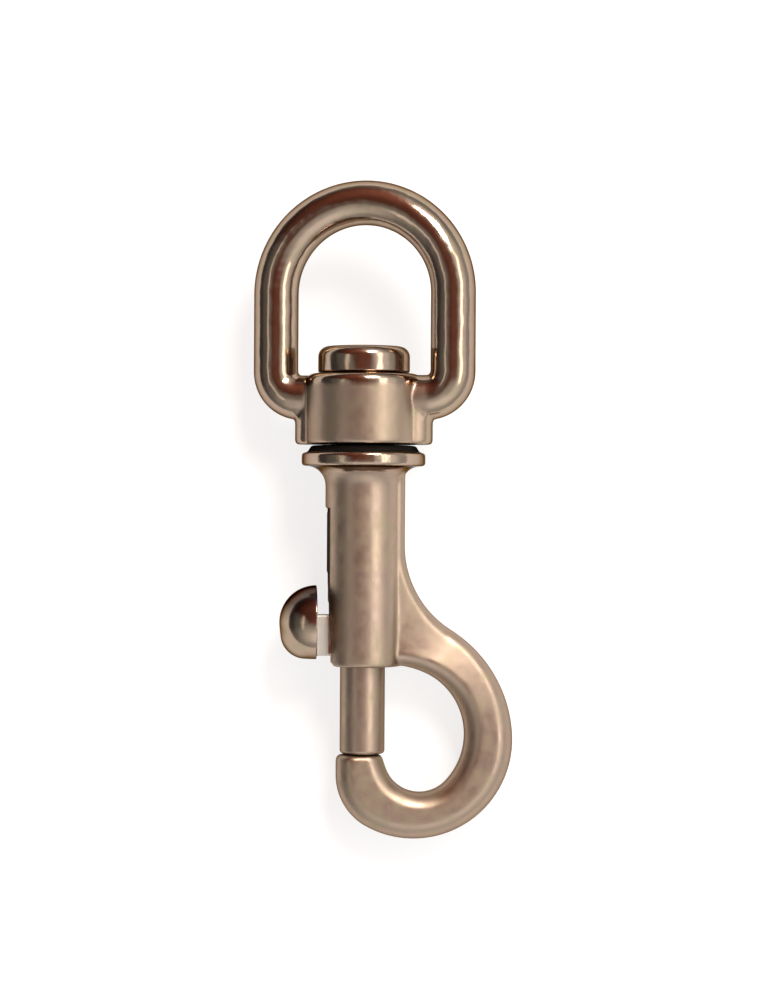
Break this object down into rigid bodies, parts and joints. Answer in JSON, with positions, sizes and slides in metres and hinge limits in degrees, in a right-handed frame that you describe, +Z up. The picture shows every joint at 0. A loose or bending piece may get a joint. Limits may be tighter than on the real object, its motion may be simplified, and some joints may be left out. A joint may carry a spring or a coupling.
{
  "type": "swivel snap hook",
  "caption": "Swivel snap hook with a round eye on a riveted swivel, a tubular barrel and a sprung bolt that closes the hook's mouth and is drawn back by a thumb stud.",
  "frame": {"origin": "on the table, under the middle of the hook as it lies on its back", "axes": "+Y towards the eye, close along the barrel, +X towards the hook's bow, +Z up from the table"},
  "size_m": [0.035, 0.0876, 0.0169],
  "materials": {
    "polished_nickel": "polished nickel plate, warm grey",
    "satin_nickel": "satin nickel plate over a tumbled casting, lightly scuffed",
    "spring_steel": "bright drawn wire"
  },
  "bodies": {
    "hook": {"barrel_hook": "satin_nickel", "swivel_rivet": "polished_nickel", "spring": "spring_steel"},
    "eye": {"eye": "polished_nickel"},
    "bolt": {"bolt": "satin_nickel", "thumb_stud": "polished_nickel"}
  },
  "joints": [
    {"name": "eye_swivel", "type": "hinge", "parent": "hook", "child": "eye", "pos_m": [-0.00253, 0.01332, 0.00887], "axis": [0, 0.9963, 0.0857], "continuous": true},
    {"name": "bolt_slide", "type": "slide", "parent": "hook", "child": "bolt", "axis": [0, 0.9963, 0.0857], "range_m": [0, 0.012], "stiffness_N_per_m": 400, "springref_m": -0.01, "deforming": ["spring"]}
  ]
}
